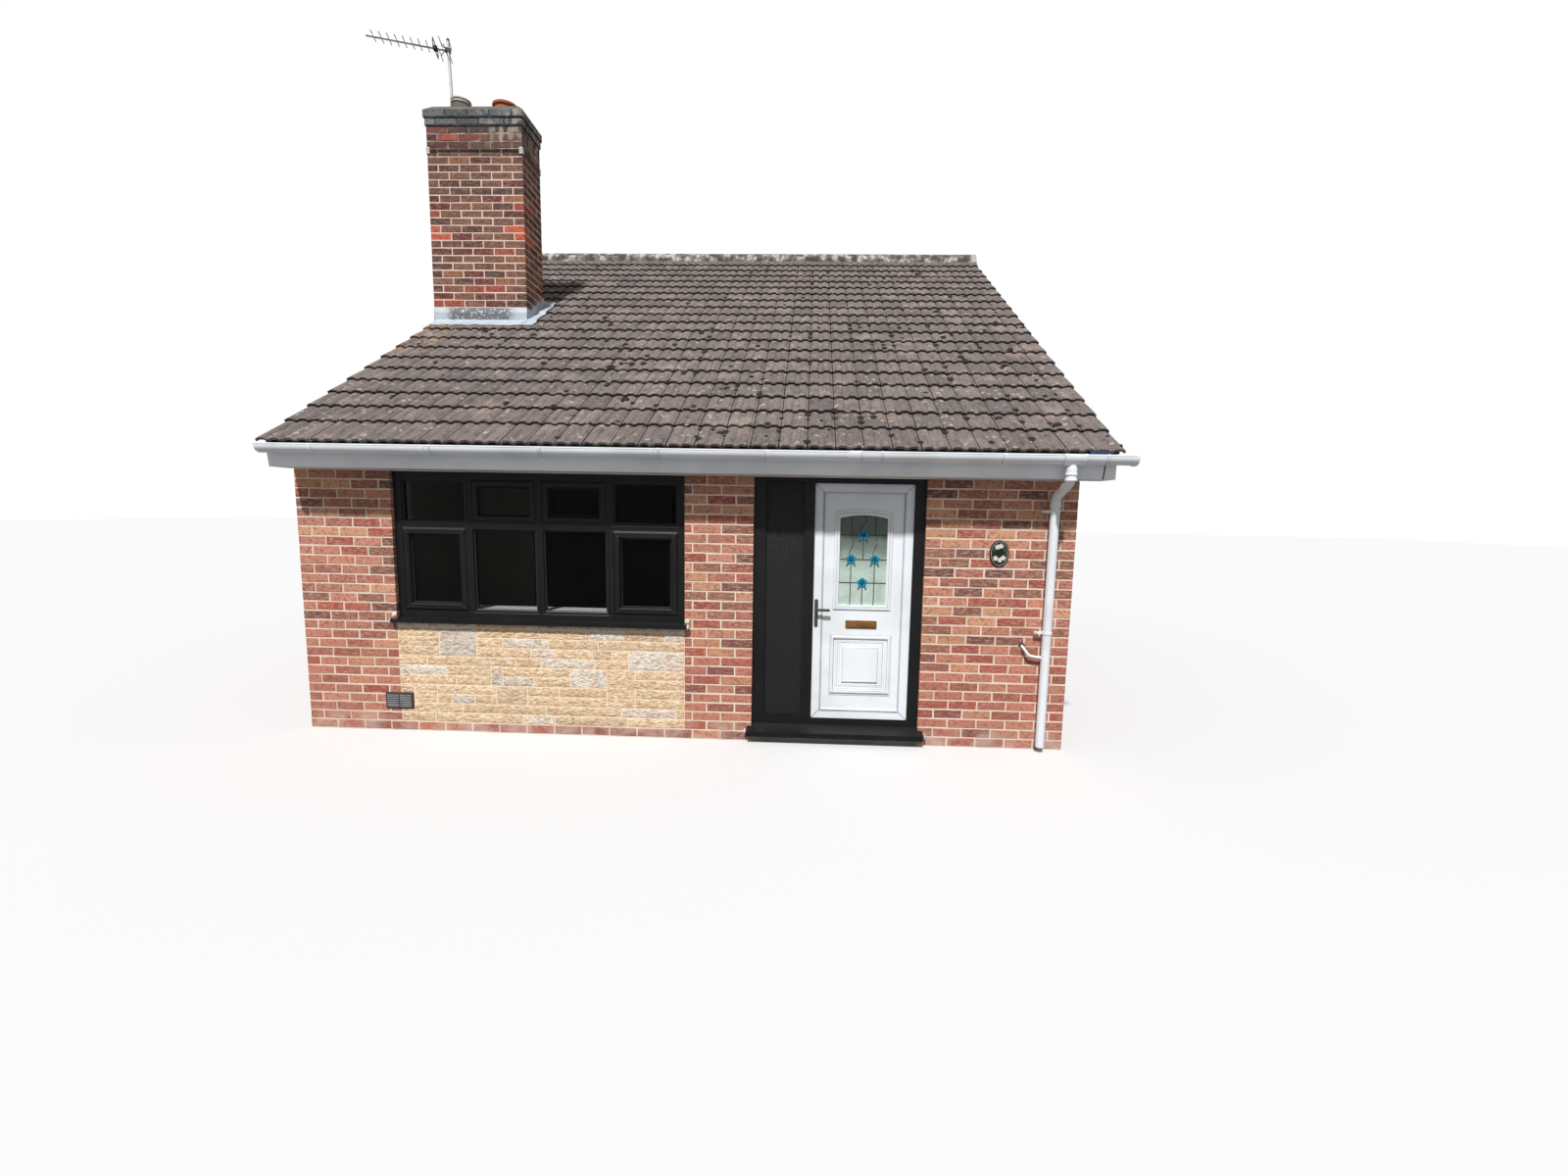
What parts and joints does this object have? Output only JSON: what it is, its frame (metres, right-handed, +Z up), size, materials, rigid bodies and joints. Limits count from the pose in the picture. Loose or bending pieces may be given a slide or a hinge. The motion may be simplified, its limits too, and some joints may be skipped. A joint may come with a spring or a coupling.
{
  "type": "bungalow",
  "caption": "Brick bungalow, the gable half of a semi-detached pair, with tiled roof, chimney, wide black-framed window, stone panel and a white front door that opens.",
  "frame": {"origin": "on the ground at the middle of the plan of the walls", "axes": "+X along the front towards the gable, +Y from the front to the rear, +Z up"},
  "size_m": [7.0533, 9.642, 6.8801],
  "materials": {
    "brick": "multi-red stretcher bond brick with pale mortar",
    "stone": "split-faced walling stone, buff and grey",
    "concrete": "smooth trowelled concrete",
    "timber": "sawn softwood",
    "plaster": "flat painted plaster",
    "roof_tile": "weathered interlocking concrete tile",
    "ridge_tile": "weathered ridge tile with lichen",
    "white_plastic": "white, smooth",
    "black_plastic": "near black, satin",
    "dark_plastic": "dark grey, matte",
    "clear_glass": "clear double glazing",
    "obscured_glass": "obscured glass",
    "leaded_glass": "frosted glass with leaded lines",
    "weathered_brick": "dark engineering brick",
    "mortar": "rough cement mortar",
    "clay": "terracotta",
    "flue_metal": "dull ribbed metal over buff clay",
    "lead": "milled lead with a pale patina",
    "aerial_metal": "dull aluminium tube",
    "handle_metal": "bright, lightly worn",
    "gold_metal": "polished gold colour",
    "hinge_metal": "white powder coat",
    "enamel": "dark green glaze with a white edge"
  },
  "bodies": {
    "root": {"floor_slab": "concrete", "party_wall": "brick", "gable_wall": "brick", "front_wall_left": "brick", "front_wall_middle": "brick", "front_wall_right": "brick", "front_wall_under_window": "brick", "stone_panel": "stone", "front_beam": "brick", "rear_wall": "brick", "wall_plates": "timber", "ceiling": "plaster", "roof_deck_front": "timber", "roof_deck_rear": "timber", "roof_tiles_front": "roof_tile", "roof_tiles_rear": "roof_tile", "ridge_tiles": "ridge_tile", "barge_boards": "white_plastic", "verge_lining": "white_plastic", "fascias": "white_plastic", "soffits": "white_plastic", "gutters": "white_plastic", "gutter_brackets": "white_plastic", "downpipes": "white_plastic", "overflow_pipe": "white_plastic", "chimney_breast": "plaster", "chimney_stack": "brick", "chimney_cap": "weathered_brick", "flaunching": "mortar", "flue_pot": "flue_metal", "clay_pot": "clay", "chimney_flashing": "lead", "aerial": "aerial_metal", "window_frames": "black_plastic", "window_sashes": "black_plastic", "window_glass": "clear_glass", "window_sills": "black_plastic", "window_boards": "white_plastic", "door_frame": "black_plastic", "sidelight_glass": "obscured_glass", "door_sill": "black_plastic", "door_hinge_pins": "hinge_metal", "air_vent": "dark_plastic", "wall_plaque": "enamel"},
    "door": {"door_hinge_leaves": "hinge_metal", "door_leaf": "white_plastic", "door_glass": "leaded_glass", "door_handle": "handle_metal", "letterplate": "gold_metal"}
  },
  "joints": [
    {"name": "front_door_hinge", "type": "hinge", "parent": "root", "child": "door", "pos_m": [1.833, -4.335, 0.19], "axis": [0, 0, -1], "range_deg": [0, 90]}
  ]
}
